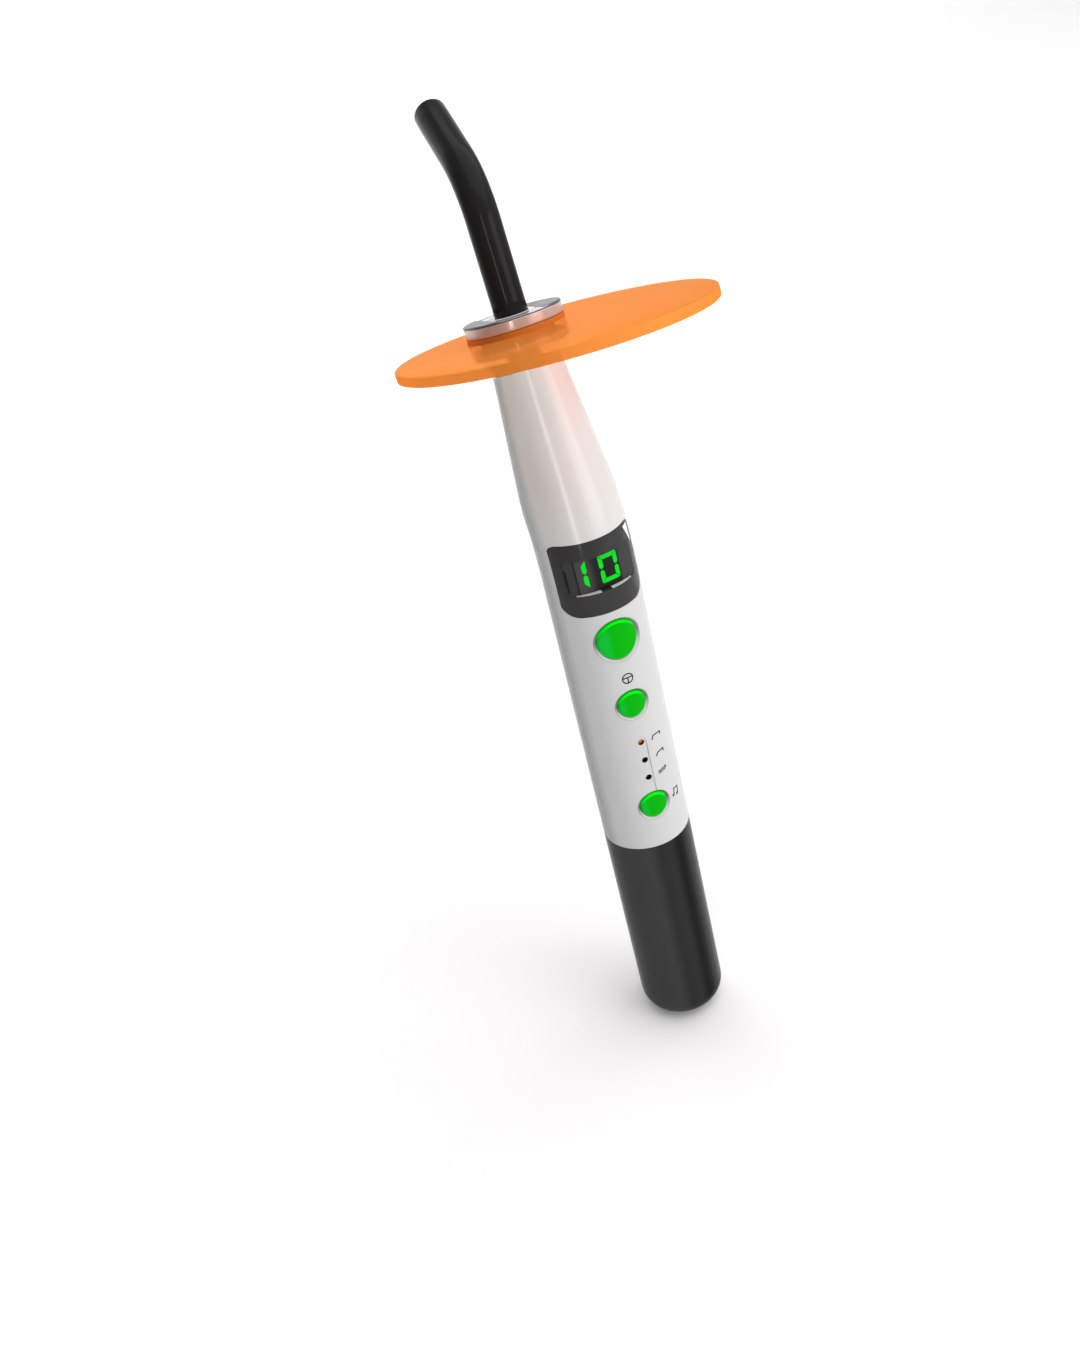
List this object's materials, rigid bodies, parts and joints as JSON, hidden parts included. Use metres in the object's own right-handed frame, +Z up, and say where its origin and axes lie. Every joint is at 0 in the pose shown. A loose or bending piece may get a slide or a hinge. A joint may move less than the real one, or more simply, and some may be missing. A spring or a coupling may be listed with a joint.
{
  "type": "dental curing light",
  "caption": "Cordless pen-shaped dental curing light with a bent light guide, an oval orange eye shield, a small display, push buttons and a pull-out battery pack.",
  "frame": {"origin": "centre of the flat end of the tail", "axes": "+Z runs up the straight handle from the tail, the display and the buttons face -Y, and the head leans back towards +Y"},
  "size_m": [0.074, 0.1023, 0.2667],
  "materials": {
    "shell_white": "satin",
    "smoked_lens": "polished",
    "screen_black": "gloss",
    "figure_green": "lit",
    "ivory_plastic": "moulded",
    "button_green": "satin",
    "black_plastic": "satin",
    "pack_black": "satin",
    "steel": "brushed",
    "lamp_amber": "lit",
    "lamp_dark": "unlit",
    "board_green": "solder mask",
    "coil_brown": "wound",
    "gold": "plated",
    "wire_red": "insulated",
    "aluminium": "machined",
    "star_white": "solder mask",
    "led_blue": "encapsulated",
    "mirror_cup": "polished",
    "collar_silver": "satin anodised",
    "socket_white": "satin",
    "guide_black": "gloss",
    "glass_fibre": "polished",
    "shield_orange": "gloss",
    "seal_rubber": "matt",
    "cell_blue": "sleeved"
  },
  "bodies": {
    "handle": {"body_shell": "shell_white", "display_cover": "smoked_lens", "display_screen": "screen_black", "display_digits": "figure_green", "display_module": "ivory_plastic", "power_switch": "steel", "time_switch": "steel", "mode_switch": "steel", "mode_lamp_1": "lamp_amber", "mode_lamp_2": "lamp_dark", "mode_lamp_3": "lamp_dark", "main_board": "board_green", "microcontroller": "black_plastic", "buzzer": "black_plastic", "driver_board": "board_green", "driver_coil": "coil_brown", "chassis": "ivory_plastic", "chassis_screws": "steel", "contact_carrier": "ivory_plastic", "contact_pins": "gold", "led_wires": "wire_red", "battery_wires": "wire_red", "heat_sink": "aluminium", "led_star_board": "star_white", "led_emitter": "led_blue", "reflector": "mirror_cup"},
    "power_key": {"power_button": "button_green"},
    "time_key": {"time_button": "button_green"},
    "mode_key": {"mode_button": "button_green"},
    "power_switch_plunger": {"power_plunger": "black_plastic"},
    "time_switch_plunger": {"time_plunger": "black_plastic"},
    "mode_switch_plunger": {"mode_plunger": "black_plastic"},
    "collar": {"head_collar": "collar_silver", "guide_socket": "socket_white", "spring_clip": "steel"},
    "light_guide": {"guide_ferrule": "steel", "guide_sheath": "guide_black", "guide_core": "glass_fibre"},
    "shield": {"eye_shield": "shield_orange"},
    "battery_pack": {"pack_case": "pack_black", "pack_seal": "seal_rubber", "pack_end_cap": "black_plastic", "pack_contacts": "gold", "protection_board": "board_green", "pack_wires": "wire_red", "battery_cell": "cell_blue", "cell_terminal": "steel", "pack_spring": "steel", "charge_board": "board_green", "charging_contacts": "gold"}
  },
  "joints": [
    {"name": "power_press", "type": "slide", "parent": "handle", "child": "power_key", "axis": [0, 1, 0], "range_m": [0, 0.0006], "stiffness_N_per_m": 800},
    {"name": "time_press", "type": "slide", "parent": "handle", "child": "time_key", "axis": [0, 1, 0], "range_m": [0, 0.0006], "stiffness_N_per_m": 800},
    {"name": "mode_press", "type": "slide", "parent": "handle", "child": "mode_key", "axis": [0, 1, 0], "range_m": [0, 0.0006], "stiffness_N_per_m": 800},
    {"name": "power_plunger_press", "type": "slide", "parent": "handle", "child": "power_switch_plunger", "axis": [0, 1, 0], "range_m": [0, 0.0006]},
    {"name": "time_plunger_press", "type": "slide", "parent": "handle", "child": "time_switch_plunger", "axis": [0, 1, 0], "range_m": [0, 0.0006]},
    {"name": "mode_plunger_press", "type": "slide", "parent": "handle", "child": "mode_switch_plunger", "axis": [0, 1, 0], "range_m": [0, 0.0006]},
    {"name": "collar_turn", "type": "hinge", "parent": "handle", "child": "collar", "pos_m": [0, 0.01573, 0.21622], "axis": [0, 0.2419, 0.9703], "continuous": true},
    {"name": "guide_pull", "type": "slide", "parent": "collar", "child": "light_guide", "axis": [0, 0.2419, 0.9703], "range_m": [0, 0.014]},
    {"name": "shield_turn", "type": "hinge", "parent": "handle", "child": "shield", "pos_m": [0, 0.01573, 0.21622], "axis": [0, 0.2419, 0.9703], "continuous": true},
    {"name": "pack_pull", "type": "slide", "parent": "handle", "child": "battery_pack", "axis": [0, 0, -1], "range_m": [0, 0.03]}
  ],
  "couplings": [
    {"joint": "power_plunger_press", "follows": "power_press", "ratio": 1},
    {"joint": "time_plunger_press", "follows": "time_press", "ratio": 1},
    {"joint": "mode_plunger_press", "follows": "mode_press", "ratio": 1}
  ]
}
